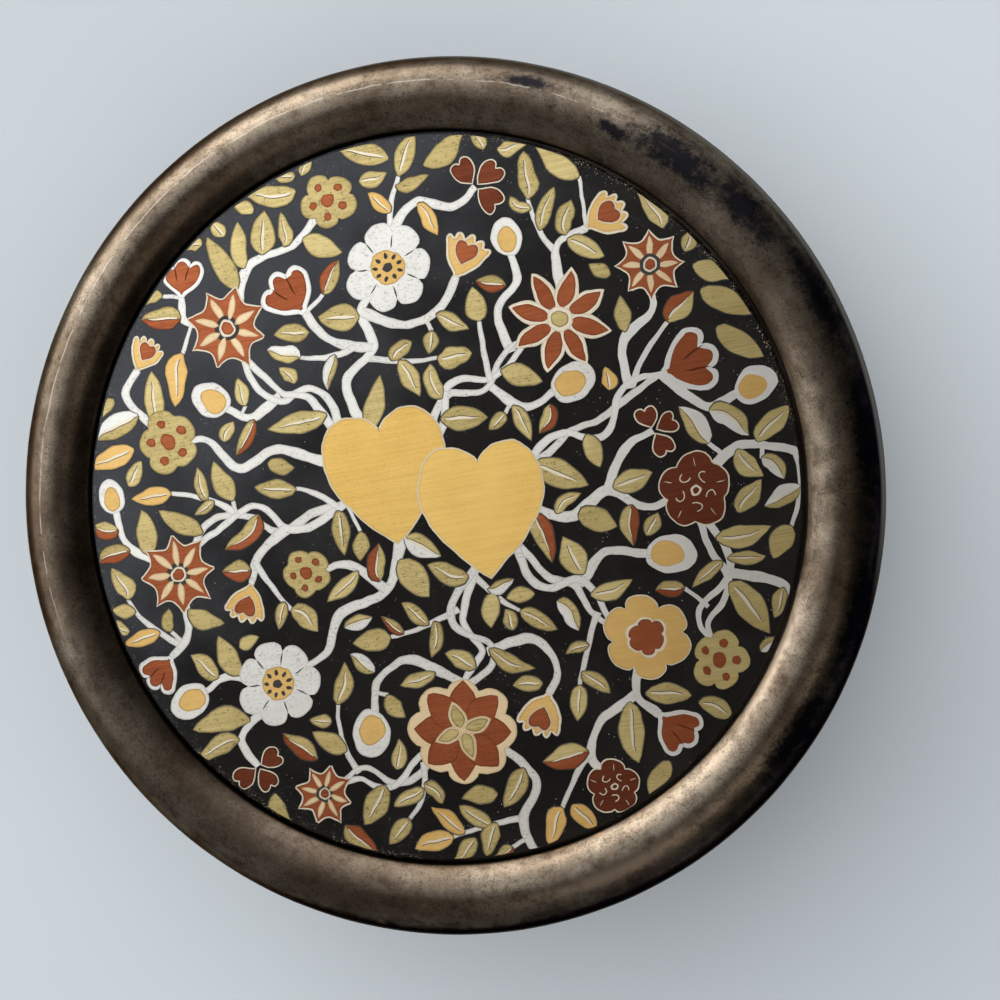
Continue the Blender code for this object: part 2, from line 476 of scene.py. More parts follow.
def wornRim(radius, height, turn):
    # Slow waves press the roll's outer face in towards the middle of its section, never outwards.
    centre = (lidRadius - lidForm["roll"], lidTop - lidForm["roll"])
    across, up = radius - centre[0], height - centre[1]
    reach = np.hypot(across, up)
    onFace = np.clip(1 - np.abs(reach - lidForm["roll"]) / 0.2, 0, 1) * (up > -3)
    section = np.arctan2(across, up)
    wave = (np.sin(5 * turn + 1.2 * section) + 0.6 * np.sin(13 * turn - 2.3 * section + 1)
            + 0.45 * np.sin(29 * turn + 3.1 * section + 2) + 0.3 * np.sin(47 * turn - 4 * section))
    full = 2.35   # the waves' sizes added up
    press = lidForm["dent"] * (wave + full) / (2 * full) * onFace / np.maximum(reach, 0.1)
    return radius - across * press, height - up * press


def makeLid(silver):
    lid = turnedMesh("lid_shell", lidProfile(), lidForm["around"], silver, wornRim)
    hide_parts("lid")


bodyForm = {
    "sheet": 1.0, "floor": 1.1, "fillet": 1.8,
    "wall": 45.3,         # outer radius of the side
    "lipSheet": 0.9,
    "lipOut": 44.0,       # outer radius of the lip inside the lid
    "seam": 23.689,       # top edge of the side, under the lid's skirt
    "lipDown": 4.5,
    "bead": 2.6, "beadProud": 0.8,
    "foot": 3.2, "raise": 1.2, "ease": 0.25, "around": 256,
}


def bodyProfile():
    form = bodyForm
    wall, ease, bead = form["wall"], form["ease"], form["bead"]
    inner = wall - form["sheet"]
    floor = form["raise"] + form["floor"]
    filletCentre = (inner - form["fillet"], floor + form["fillet"])
    beadCentre = (wall + form["beadProud"] - bead, bead)
    beadFrom = math.degrees(math.asin((wall - beadCentre[0]) / bead))
    lipIn = form["lipOut"] - form["lipSheet"]
    return [
        (0, floor),
        *circleArc(filletCentre, form["fillet"], 180, 90, 8),
        (inner, form["seam"] - form["lipDown"]),
        (lipIn, form["seam"] - form["lipDown"]),
        (lipIn, bodyTop),
        (form["lipOut"] - ease, bodyTop),
        (form["lipOut"], bodyTop - ease),
        (form["lipOut"], form["seam"]),
        (wall - ease, form["seam"]),
        (wall, form["seam"] - ease),
        *circleArc(beadCentre, bead, beadFrom, 180, 5),
        (beadCentre[0] - form["foot"], 0),
        (beadCentre[0] - form["foot"] - form["raise"], form["raise"]),
        (0, form["raise"]),
    ]


def makeBody(silver):
    body = turnedMesh("box_shell", bodyProfile(), bodyForm["around"], silver)
    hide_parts("box_body")


def makeGround(black):
    ease = lidForm["ease"]
    profile = [(0, discTop), (discRadius - ease, discTop), (discRadius, discTop - ease),
               (discRadius, discBottom), (0, discBottom)]
    ground = turnedMesh("disc_ground", profile, 192, black)
    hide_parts("lid_disc")


# Flat shapes for the inlay, as points in millimetres on the face of the disc

def turned(points, x, y, degrees):
    # Points turned anticlockwise about the origin, then moved to x, y.
    c, s = cosSin(degrees)
    return np.asarray(points, float) @ np.array([[c, s], [-s, c]]) + [x, y]


def smoothPath(points):
    # A curve through the given points (Catmull-Rom), read again at even steps of length.
    p = np.array(points, float).reshape(-1, 2)
    p = np.vstack([2 * p[0] - p[1], p, 2 * p[-1] - p[-2]])
    t = np.linspace(0, 1, 24, endpoint=False)[:, None]
    a, b, c, d = p[:-3, None], p[1:-2, None], p[2:-1, None], p[3:, None]
    curve = 0.5 * (2 * b + (c - a) * t + (2 * a - 5 * b + 4 * c - d) * t**2
                   + (3 * b - a - 3 * c + d) * t**3)
    curve = np.vstack([curve.reshape(-1, 2), p[-2]])
    length = np.concatenate([[0], np.cumsum(np.hypot(*np.diff(curve, axis=0).T))])
    even = np.linspace(0, length[-1], max(4, int(length[-1] / inlayPlan["spacing"])) + 1)
    return np.stack([np.interp(even, length, curve[:, k]) for k in (0, 1)], 1)


def directions(path):
    # Unit tangent and left-hand normal at each point of a path.
    tangent = np.gradient(path, axis=0)
    tangent /= np.maximum(np.hypot(*tangent.T), 1e-9)[:, None]
    return tangent, np.stack([-tangent[:, 1], tangent[:, 0]], 1)


def ribbon(path, halfWidth, across=3):
    # Grid of points: along the path, and from its right edge to its left edge.
    normal = directions(path)[1]
    side = np.linspace(-1, 1, across)
    return path[:, None] + side[None, :, None] * (halfWidth[:, None] * normal)[:, None]


def leafShape(base, turn, length, width, bend, along=11, across=3):
    # Half width swells and narrows as a sine of the distance along a curved midrib, which also sways a
    # little where it bends; turn is in radians.
    s = np.linspace(0, 1, along)
    phase = 9 * bend
    sweep = turn + bend * (s - 0.5) + 0.35 * abs(bend) * np.sin(2 * math.pi * s + phase)
    step = np.stack([np.cos(sweep), np.sin(sweep)], 1) * length / (along - 1)
    rib = np.array(base) + np.vstack([[0, 0], np.cumsum(step[:-1], axis=0)])
    half = 0.5 * width * np.sin(math.pi * s**0.78) ** 0.72 * (1 + 0.16 * abs(bend) * np.sin(9 * s + phase))
    half[0], half[-1] = 0.07 * width, 0.015 * width
    return ribbon(rib, half, across)


def edgeCount(radius):
    return int(np.clip(14 * radius + 20, 20, 132)) // 4 * 4


def lobed(radius, lobes, depth, sharpness=1.0, wobble=0.035):
    # The radius dips between equal lobes; a low sharpness makes round lobes and narrow notches.
    a = np.linspace(0, 2 * math.pi, edgeCount(radius), endpoint=False)
    r = 1 - depth + depth * np.abs(np.cos(lobes * a / 2)) ** sharpness
    r = radius * r * (1 + wobble * np.sin(2 * a + 3 * radius) + wobble * 0.7 * np.cos(3 * a + radius))
    return np.stack([r * np.cos(a), r * np.sin(a)], 1)


def starShape(radius, tips, depth):
    # The radius falls from each sharp tip towards a round notch.
    a = np.linspace(0, 2 * math.pi, edgeCount(radius), endpoint=False)
    r = radius * (1 - depth * np.abs(np.sin(tips * a / 2)) ** 0.85) * (1 + 0.03 * np.sin(3 * a + radius))
    return np.stack([r * np.cos(a), r * np.sin(a)], 1)


def cupShape(radius, lobes, spread, belly=0.34):
    # A flower seen from the side: from a narrow base the sides swell out to a scalloped far edge.
    a = np.linspace(-1, 1, edgeCount(radius) // 2)
    edge = radius * (0.84 + 0.16 * np.abs(np.cos(lobes * math.pi * a / 2)) ** 0.6) * (1 - 0.1 * a**2)
    top = np.stack([edge * np.cos(spread * a), edge * np.sin(spread * a)], 1)
    s = np.linspace(0, 1, 9)[1:-1, None]
    side = top[-1] * s + np.array([0.25, 1.0]) * radius * belly * (s * (1 - s)) * [-1, 1]
    foot = np.array([[0.0, 0.06 * radius], [0.0, -0.06 * radius]])
    return np.vstack([top, side[::-1], foot, side * [1, -1]])


def inset(outline, width):
    # The outline drawn in, square to itself, or out where the width is negative.
    tangent = np.roll(outline, -1, 0) - np.roll(outline, 1, 0)
    tangent /= np.maximum(np.hypot(*tangent.T), 1e-9)[:, None]
    return outline + width * np.stack([-tangent[:, 1], tangent[:, 0]], 1)


def heartShape(width, height):
    # Two mirrored chains of cubic arcs, anticlockwise: tip, widest point, lobe and notch.
    chain = [((0, 0), (0.16, 0.13), (0.5, 0.40), (0.5, 0.67)),
             ((0.5, 0.67), (0.5, 0.86), (0.41, 1.0), (0.255, 1.0)),
             ((0.255, 1.0), (0.14, 1.0), (0.05, 0.95), (0, 0.86))]
    t = np.linspace(0, 1, int(np.clip(2 * width, 7, 24)), endpoint=False)[:, None]
    half = [(1 - t)**3 * a + 3 * (1 - t)**2 * t * b + 3 * (1 - t) * t**2 * c + t**3 * d
            for a, b, c, d in np.array(chain)]
    half = np.vstack(half + [[[0, 0.86]]])
    return (np.vstack([half, (half * [-1, 1])[-2:0:-1]]) - [0, 0.5]) * [width, height]


# The inlay: what is laid where

inlayPlan = {
    "heartSize": (13.5, 14.3),
    "hearts": ((-5.3, 2.15, 10.0), (5.2, -1.35, 6.5)),   # middle and turn of each
    "mainStem": 0.64, "sideStem": 0.54, "stemTip": 0.40, "twig": 0.27,    # half widths
    "leafLength": (4.6, 7.2), "leafWidth": (2.2, 3.3), "leafEvery": 2.4,
    # Kinds of leaves by a random number: half copper, half pale and gold below the first three of these,
    # plain olive above them; and veined below the last.
    "copperHalf": 0.13, "paleHalf": 0.20, "goldLeaf": 0.27, "veined": 0.8,
    "clear": 0.20,        # black left round each leaf
    "edge": 38.81,        # the inlay stops here
    "reach": 39.7,        # leaves may pass the edge as far as this, and are cut off there
    "cell": 0.2,          # cell of the map of taken ground
    "ground": 40,         # half the map's width
    "spacing": 0.3,       # of the points along a stem
    "sink": 0.05,         # underside of a plate below the lacquer's face
    "warp": (0.08, 0.035, 0.012),   # sizes of the shifts of hand-cut pieces
}
# Heights of the plates over the lacquer: enough to keep them apart, far too little to feel.
levels = {"stem": 0.012, "joint": 0.017, "leaf": 0.022, "vein": 0.027, "edge": 0.030, "petal": 0.035,
          "mark": 0.040, "eye": 0.045, "pip": 0.050}
levelSpread = 0.003   # each plate also lies up to this much higher, so that no two of a level coincide

# Each stem: x and y of its points by turns, then the flower at its end and that flower's size.
stems = {
    "a": ((-10, 6, -13.6, 11.2, -17.4, 11, -20.4, 13.8, -21.8, 16), "starDaisy", 4.8),
    "a1": ((-17.4, 11, -20.6, 8.6, -23.4, 9.8), "bud", 1.8),
    "a2": ((-22, 19, -21, 25, -15.6, 27.4, -13, 30.6), "oliveRose", 3.1),
    "a3": ((-25, 18.6, -28.2, 19.4, -28.4, 21.8), "tulip", 4.5),
    "b": ((-7, 6, -9.8, 12.4, -6.8, 16.2, -8.2, 20, -6.8, 22.4), "whiteRose", 4.8),
    "b1": ((-6.8, 16.2, -11.6, 17, -14.4, 20), "tulip", 5.6),
    "b2": ((-8.2, 20, -3, 18.6, 0.8, 20.6, 2.2, 23.6), "goldTulip", 5.0),
    "b3": ((-5.6, 27, -2.4, 31.6, 2, 31.2, 4.4, 33.2), "heartlets", 3.0),
    "c": ((-0.6, 5, 1.4, 11.4, 5.6, 12.2, 8.2, 15.6, 10.6, 17.2), "petalDaisy", 5.7),
    "c1": ((5.6, 12.2, 9.8, 9.8, 13, 11.4), "bud", 2.0),
    "c2": ((14.2, 20, 13, 26.4, 16.2, 28.6), "goldTulip", 4.8),
    "c3": ((8.2, 15.6, 6.8, 19.8, 8.8, 23.2, 8.2, 26), "bud", 1.7),
    "d": ((9.6, 3, 13.6, 6.8, 17.8, 7.4, 20.8, 11.6, 24.4, 13.2), "tulip", 6.2),
    "d1": ((20.8, 11.6, 20.2, 16.4, 23.2, 19.8, 23.2, 22.4), "starDaisy", 3.8),
    "d2": ((24.4, 13.2, 28.8, 9.8, 32.2, 11.2), "bud", 1.9),
    "e": ((9.6, -0.6, 14.6, -1.9, 18.6, 1, 22.6, -0.8, 25.6, 0.2), "darkRose", 4.0),
    "e1": ((18.6, 1, 20.4, 5.4, 23.4, 7.2), "heartlets", 2.5),
    "e2": ((28, 1, 32.6, 5.8, 40.5, 4.6), None, 0),
    "e3": ((28, -1, 31.4, -7.6, 28.8, -12, 29.8, -15), "oliveRose", 3.1),
    "e4": ((31.4, -7.6, 36.4, -8.4, 40.6, -12), None, 0),
    "f": ((8.4, -4.4, 11.8, -8.6, 15.6, -9, 18, -12.4, 20.2, -13.4), "goldRose", 4.6),
    "f1": ((15.6, -9, 18.4, -5.6, 23, -5.6), "bud", 2.1),
    "f2": ((22.4, -14.6, 21.8, -20.4, 24.2, -22.6), "tulip", 4.9),
    "f3": ((21.8, -20.4, 18, -23.4, 16.8, -27, 18.2, -29), "darkRose", 3.0),
    "g": ((4.4, -7.2, 2.4, -12.8, 5.6, -16.4, 3.2, -20, 3, -21.4), "bigRosette", 5.8),
    "g1": ((5.6, -16.4, 10.6, -14.8, 13.2, -17.8, 12.4, -20.6), "goldTulip", 5.0),
    "g2": ((3.2, -20, -2.6, -17.4, -6.2, -19.6, -6.8, -23.2), "bud", 2.1),
    "g3": ((5, -25, 11, -29.8, 9.6, -34.6, 12.6, -40.4), None, 0),
    "g4": ((1, -26, -4, -30.8, -8, -29.8, -10.6, -31.2), "starDaisy", 3.5),
    "h": ((-3.4, -3, -5.4, -9.8, -10.4, -12.4, -12.2, -16.8, -15.2, -18.8), "whiteRose", 4.7),
    "h1": ((-5.4, -9.8, -9.6, -7.2, -12.8, -7.8), "oliveRose", 2.7),
    "h2": ((-18.6, -21.2, -23, -19.6, -26, -21.4), "bud", 1.9),
    "h3": ((-18, -22, -21.8, -26.4, -20, -29.4), "heartlets", 2.7),
    "i": ((-10, -0.6, -16.6, -3.4, -20.4, -1.4, -25.4, -3.6, -27.4, -6.2), "starDaisy", 4.6),
    "i1": ((-16.6, -3.4, -19.6, -6, -20.6, -9.4), "goldTulip", 4.5),
    "i2": ((-29, -9, -27.8, -14.6, -29.8, -17.6), "tulip", 4.5),
    "i3": ((-29, -8, -34.8, -5.4, -36.2, -1.6), "bud", 1.5),
    "j": ((-10.6, 3.4, -17.6, 5.2, -21.8, 3.2, -25.6, 6.2, -28, 6.2), "oliveRose", 3.5),
    "j1": ((-30.6, 7, -35, 10.8, -33.6, 14), "goldTulip", 3.9),
}
twinedStems = ("a", "c", "d", "f", "g", "i", "e3", "g4")


class Inlay:
    # Collects the plates of every metal, and keeps a map of the ground that is taken.
    def __init__(self):
        self.plates = {kind: [] for kind in metals}
        cells = int(2 * inlayPlan["ground"] / inlayPlan["cell"])
        self.taken = np.zeros((cells, cells), bool)

    def lay(self, kind, level, shape, centre=None):
        # A plate is a grid of points, or an outline that is closed round a centre.
        tone, lift = rng.random(2)
        self.plates[kind].append((shape, centre, levels[level] + levelSpread * lift, tone))

    def cells(self, points):
        index = ((points.reshape(-1, 2) + inlayPlan["ground"]) / inlayPlan["cell"]).astype(int)
        return tuple(np.clip(index, 0, len(self.taken) - 1).T)

    def take(self, points, margin):
        # Marks the cells under the points and within the margin of each.
        a = np.linspace(0, 2 * math.pi, 12, endpoint=False)
        ring = np.stack([np.cos(a), np.sin(a)], 1)
        reach = np.vstack([[[0, 0]], margin * ring, 0.5 * margin * ring])
        self.taken[self.cells(points.reshape(-1, 1, 2) + reach)] = True

    def takeOutline(self, outline, centre, margin):
        shares = np.linspace(0.05, 1, 24)[:, None, None]
        self.take(np.asarray(centre) + shares * (outline - centre), margin)

    def isFree(self, points):
        inside = np.hypot(*points.reshape(-1, 2).T).max() < inlayPlan["reach"]
        return inside and not self.taken[self.cells(points)].any()


class Bloom:
    # One flower's own place: shapes given about its base are turned and moved as they are laid.
    def __init__(self, inlay, radius, place):
        self.inlay = inlay
        self.radius = radius
        self.place = place

    def plate(self, kind, level, outline, centre=(0, 0)):
        self.inlay.lay(kind, level, turned(outline, *self.place), turned([centre], *self.place)[0])

    def grid(self, kind, level, grid, turn=0, away=0):
        points = turned(grid.reshape(-1, 2) + [away, 0], 0, 0, turn)
        self.inlay.lay(kind, level, turned(points, *self.place).reshape(grid.shape))

    def rimmed(self, rim, face, outline, width, centre=(0, 0)):
        # A plate with a narrow rim of another metal.
        self.plate(rim, "edge", outline, centre)
        self.plate(face, "petal", inset(outline, width), centre)

    def petal(self, kind, level, length, width, turn, away, along=10, across=3, bend=0.0):
        # Length, width and distance from the middle are shares of the flower's radius.
        shape = leafShape((0, 0), 0, length * self.radius, width * self.radius, bend, along, across)
        self.grid(kind, level, shape, turn, away * self.radius)


def whiteRose(bloom, radius):
    outline = lobed(radius, 7, 0.24, 0.5)
    bloom.plate("vine", "edge", outline)
    for k in range(7):
        bloom.petal("dark", "petal", 0.3, 0.035, 360 / 7 * (k + 0.5), 0.45, 5)
    bloom.plate("gold", "petal", lobed(0.4 * radius, 9, 0.05))
    for k in range(9):
        bloom.petal("dark", "mark", 0.15, 0.09, 40 * k + 8, 0.2, 6)
    bloom.plate("dark", "mark", lobed(0.11 * radius, 5, 0.1))
    return outline


def starDaisy(bloom, radius):
    outline = starShape(radius, 8, 0.3)
    bloom.rimmed("paleEdge", "copper", outline, 0.17)
    for k in range(8):
        bloom.petal("cream", "mark", 0.58, 0.17, 45 * k, 0.2)
    bloom.plate("dark", "mark", lobed(0.28 * radius, 6, 0.05))
    bloom.plate("paleEdge", "eye", lobed(0.19 * radius, 6, 0.05))
    bloom.plate("copper", "pip", lobed(0.14 * radius, 6, 0.05))
    return outline


def petalDaisy(bloom, radius):
    for k in range(8):
        bloom.petal("paleEdge", "edge", 0.84, 0.44, 45 * k, 0.15, 14, 5, 0.15)
        bloom.petal("copper", "petal", 0.70, 0.30, 45 * k, 0.22, 14, 5, 0.15)
    bloom.plate("paleEdge", "mark", lobed(0.25 * radius, 6, 0.06))
    bloom.plate("leaf", "eye", lobed(0.17 * radius, 6, 0.06))
    return lobed(radius, 8, 0.25)


def tulip(bloom, radius):
    outline = cupShape(radius, 3, 0.78)
    bloom.rimmed("vine", "copper", outline, 0.09 * radius, (0.5 * radius, 0))
    for turn in (-13, 13):
        bloom.petal("darkCopper", "mark", 0.45, 0.035, turn, 0.4, 6)
    return outline


def goldTulip(bloom, radius):
    outline = cupShape(radius, 5, 0.68)
    bloom.rimmed("paleEdge", "gold", outline, 0.05 * radius, (0.5 * radius, 0))
    middle = (0.56 * radius, 0)
    heart = turned(heartShape(0.5 * radius, 0.5 * radius), *middle, -90)
    bloom.plate("paleEdge", "mark", inset(heart, -0.12), middle)
    bloom.plate("copper", "eye", heart, middle)
    return outline


def darkRose(bloom, radius):
    outline = lobed(radius, 5, 0.2, 0.6)
    bloom.rimmed("paleEdge", "darkCopper", outline, 0.15)
    a = np.linspace(0.2, 3.7, 12)
    curl = np.stack([0.12 * radius * np.cos(a) + 0.42 * radius, 0.15 * radius * np.sin(a)], 1)
    line = leafShape((0, 0), 0, 0.26 * radius, 0.08, 0, 5, 2)
    for k in range(5):
        bloom.grid("paleEdge", "mark", ribbon(curl, np.full(12, 0.055), 2), 72 * k + 36)
        bloom.grid("paleEdge", "mark", line, 72 * k, 0.6 * radius)
    bloom.plate("paleEdge", "mark", lobed(0.14 * radius, 5, 0.1))
    bloom.plate("darkCopper", "eye", lobed(0.08 * radius, 5, 0.1))
    return outline


def goldRose(bloom, radius):
    outline = lobed(radius, 6, 0.22, 0.55)
    bloom.rimmed("paleEdge", "gold", outline, 0.13)
    bloom.plate("paleEdge", "mark", lobed(0.5 * radius, 6, 0.2, 0.6))
    bloom.plate("copper", "eye", lobed(0.44 * radius, 6, 0.2, 0.6))
    return outline


def oliveRose(bloom, radius):
    outline = lobed(radius, 5, 0.24, 0.55)
    bloom.plate("leaf", "edge", outline)
    for k in range(5):
        spot = turned([(0.58 * radius, 0)], 0, 0, 72 * k)
        bloom.plate("copper", "petal", lobed(0.15 * radius, 5, 0.1) + spot, spot[0])
    bloom.plate("copper", "petal", lobed(0.26 * radius, 5, 0.06))
    return outline


def bigRosette(bloom, radius):
    outline = lobed(radius, 8, 0.2, 0.55)
    bloom.plate("cream", "edge", outline)
    for k in range(8):
        bloom.petal("copper", "petal", 0.74, 0.56, 45 * k, 0.18, 12, 5)
    for k in range(4):
        bloom.petal("cream", "mark", 0.56, 0.31, 90 * k + 22, 0.02, 10, 5)
        bloom.petal("leaf", "eye", 0.46, 0.22, 90 * k + 22, 0.06, 10, 5)
    return outline


def heartlets(bloom, radius):
    for turn in (-84, 0, 84):
        heart = turned(heartShape(0.95 * radius, radius), 0.62 * radius, 0, -90)
        heart = turned(heart, 0, 0, turn)
        middle = turned([(0.62 * radius, 0)], 0, 0, turn)[0]
        bloom.rimmed("paleEdge", "darkCopper", heart, 0.14, middle)
    return lobed(1.05 * radius, 3, 0.1)


def bud(bloom, radius):
    outline = lobed(radius, 3, 0.06) * [1.3, 1.0] + [1.1 * radius, 0]
    bloom.plate("vine", "edge", outline, (1.1 * radius, 0))
    bloom.plate("gold", "petal", lobed(0.66 * radius, 3, 0.06) * [1.3, 1.0] + [0.9 * radius, 0],
                (0.9 * radius, 0))
    return outline


makers = {maker.__name__: maker for maker in (
    whiteRose, starDaisy, petalDaisy, tulip, goldTulip, darkRose, goldRose, oliveRose, bigRosette,
    heartlets, bud)}
sideOn = ("tulip", "goldTulip", "bud", "heartlets")   # these start at their stem's end, the rest past it


def layFlower(inlay, kind, radius, path):
    tangent = directions(path)[0][-1]
    place = (*(path[-1] + (0 if kind in sideOn else 0.6 * radius) * tangent),
             math.degrees(math.atan2(tangent[1], tangent[0])))
    outline = turned(makers[kind](Bloom(inlay, radius, place), radius), *place)
    inlay.takeOutline(outline, outline.mean(0), 0.42)


def layHearts(inlay):
    for place, level, above in zip(inlayPlan["hearts"], ("edge", "mark"), ("petal", "eye")):
        outline = turned(heartShape(*inlayPlan["heartSize"]), *place)
        centre = np.array(place[:2])
        inlay.lay("paleEdge", level, inset(outline, -0.15), centre)
        inlay.lay("heart", above, outline, centre)
        inlay.takeOutline(outline, centre, 0.5)


def layStem(inlay, name, path):
    # A stem narrows towards its flower; a twined one is two strands that cross and part.
    s = np.linspace(0, 1, len(path))
    wide = inlayPlan["mainStem"] if len(name) == 1 else inlayPlan["sideStem"]
    half = wide + (inlayPlan["stemTip"] - wide) * s + 0.05 * np.sin(9 * s + len(path))
    strands = [path]
    if name in twinedStems:
        sway = 0.95 * np.sin(math.pi * s * (1 + len(path) // 30)) * np.sin(math.pi * s) ** 0.5
        normal = directions(path)[1]
        strands = [path + 0.75 * sway[:, None] * normal, path - sway[:, None] * normal]
        half = half * 0.74
    for strand in strands:
        inlay.lay("vine", "stem", ribbon(strand, half))
        inlay.take(ribbon(strand, half, 5), 0.15)


def tryLeaf(inlay, base, turn, length, width, skip=0.38):
    # Lays a leaf if the ground past its first part is free.
    bend = rng.uniform(-0.7, 0.7)
    test = leafShape(base, turn, length, width, bend, 24, 9)
    if not inlay.isFree(test[int(skip * 24):]):
        return False
    kind = rng.random()
    grid = leafShape(base, turn, length, width, bend, across=5)
    back = np.array(base) - 0.1 * np.array([math.cos(turn), math.sin(turn)])
    inlay.lay("dark", "joint", leafShape(back, turn, length + 0.18, width + 0.16, bend))
    if kind < inlayPlan["paleHalf"]:
        right, left = ("leaf", "copper") if kind < inlayPlan["copperHalf"] else ("vine", "leaf")
        inlay.lay(right, "leaf", grid[:, :3])
        inlay.lay(left, "leaf", grid[:, 2:])
    else:
        inlay.lay("gold" if kind < inlayPlan["goldLeaf"] else "leaf", "leaf", grid[:, ::2])
    if kind < inlayPlan["veined"]:
        rib = grid[1:9, 2]
        share = 1 if kind > inlayPlan["copperHalf"] else 0.7
        wedge = 0.03 + 0.048 * width * np.sin(np.linspace(0.5, 3.1, 8)) * share
        inlay.lay("dark", "vein", ribbon(rib + 0.07 * directions(rib)[1], wedge + 0.01, 2))
        inlay.lay("paleEdge", "edge", ribbon(rib, wedge, 2))
    inlay.take(test, inlayPlan["clear"])
    return True


def layLeavesAlong(inlay, path, side):
    # Leaves on both sides of a stem by turns, each tried at a few sizes and angles.
    tangent, normal = directions(path)
    for k in range(4, len(path) - 3, int(inlayPlan["leafEvery"] / inlayPlan["spacing"])):
        for flip in (side, -side):
            for attempt in range(8):
                length = rng.uniform(*inlayPlan["leafLength"]) * (1 - 0.055 * attempt)
                width = rng.uniform(*inlayPlan["leafWidth"]) * (1 - 0.05 * attempt)
                turn = math.atan2(tangent[k, 1], tangent[k, 0]) + rng.uniform(0.6, 1.4) * flip
                if tryLeaf(inlay, path[k] + 0.3 * flip * normal[k], turn, length, width):
                    break
        side = -side


def trySprig(inlay, base, turn, length):
    # A thin curved twig with a leaf at its end, and leaves on its sides where they fit.
    bend = rng.uniform(-0.9, 0.9)
    s = np.linspace(0, 1, 12)
    sweep = turn + bend * s
    step = np.stack([np.cos(sweep), np.sin(sweep)], 1) * length / 11
    twig = base + np.vstack([[0, 0], np.cumsum(step[:-1], axis=0)])
    corridor = ribbon(twig, np.full(12, 0.55), 5)
    endLength = rng.uniform(3.6, 5.0)
    end = leafShape(twig[-1], sweep[-1], endLength, 2.2, 0, 14, 7)
    if not inlay.isFree(corridor[4:]) or not inlay.isFree(end):
        return
    if not tryLeaf(inlay, twig[-1], sweep[-1], endLength, rng.uniform(1.8, 2.4), 0):
        return
    inlay.lay("vine", "stem", ribbon(twig, np.linspace(1.4, 0.8, 12) * inlayPlan["twig"]))
    inlay.take(ribbon(twig, np.full(12, 0.2), 3), 0.1)
    for k, flip in ((4, 1), (5, -1), (9, 1), (9, -1)):
        for size in (1.0, 0.8, 0.65):
            leafTurn = sweep[k] + flip * rng.uniform(0.7, 1.1)
            leafLength = size * rng.uniform(3.6, 5.0)
            if tryLeaf(inlay, twig[k], leafTurn, leafLength, size * rng.uniform(1.7, 2.3)):
                break


def laySprigs(inlay, paths, lengths):
    # Twigs out of every stem into open ground, the longest first.
    for length in lengths:
        for path in paths:
            tangent = directions(path)[0]
            for k in rng.permutation(np.arange(3, len(path) - 3, 2)):
                flip = rng.choice([-1, 1])
                turn = math.atan2(tangent[k, 1], tangent[k, 0]) + flip * rng.uniform(0.6, 1.4)
                trySprig(inlay, path[k], turn, length)


def layLooseLeaves(inlay, stemPoints):
    # Leaves in the gaps that are left, each turned away from the nearest stem and joined to it where it
    # can be. The places are tried on a grid, in a random order.
    line = np.arange(-38, 38.1, 0.8)
    places = np.stack(np.meshgrid(line, line), -1).reshape(-1, 2)
    places = rng.permutation(places[np.hypot(*places.T) < 38.2])
    for length in (5.8, 4.8, 4.0, 3.2, 2.5):
        for spot in places:
            if not inlay.isFree(spot):
                continue
            nearest = stemPoints[np.hypot(*(stemPoints - spot).T).argmin()]
            away = math.atan2(*(spot - nearest)[::-1])
            stalk = nearest + np.linspace(0, 1, 9)[:, None] * (spot - nearest)
            isOpen = inlay.isFree(stalk[4:8])
            for turn in away + rng.uniform(-0.9, 0.9, 3):
                if tryLeaf(inlay, spot, turn, length, 0.3 * length + 0.8, 0):
                    if isOpen:
                        inlay.lay("vine", "stem", ribbon(stalk, np.full(9, 0.8 * inlayPlan["twig"])))
                        inlay.take(stalk, 0.2)
                    break


def layInlay():
    inlay = Inlay()
    layHearts(inlay)
    paths = {name: smoothPath(points) for name, (points, flower, size) in stems.items()}
    for name, (points, flower, size) in stems.items():
        if flower:
            layFlower(inlay, flower, size, paths[name])
    for name, path in paths.items():
        layStem(inlay, name, path)
    laySprigs(inlay, paths.values(), (8.0, 6.5, 5.2))
    for side, path in zip((1, -1) * len(paths), paths.values()):
        layLeavesAlong(inlay, path, side)
    laySprigs(inlay, paths.values(), (4.2, 3.2))
    layLooseLeaves(inlay, np.vstack(list(paths.values())))
    return inlay


# Meshes of the plates

def fitted(points):
    # Slow uneven shifts of up to an eighth of a millimetre each way, as of hand-cut pieces, and a soft stop
    # at the disc's edge.
    x, y = points.T
    slow, quick, fine = inlayPlan["warp"]
    shift = np.stack([slow * np.sin(1.1 * x + 0.7 * y + 1) + quick * np.sin(2.7 * y - 1.2 * x)
                      + fine * np.sin(6.3 * y + 3.1 * x),
                      slow * np.sin(0.9 * y - 0.8 * x + 2) + quick * np.sin(2.9 * x + 1.4 * y)
                      + fine * np.sin(5.9 * x - 3.7 * y)], 1)
    points = points + shift
    reach = np.maximum(np.hypot(*points.T), 0.01)
    soft = 0.3   # over this length the points are drawn in more and more
    start = inlayPlan["edge"] - soft
    held = inlayPlan["edge"] - soft * np.exp(-np.maximum(reach - start, 0) / soft)
    return points * np.where(reach > start, held / reach, 1)[:, None]


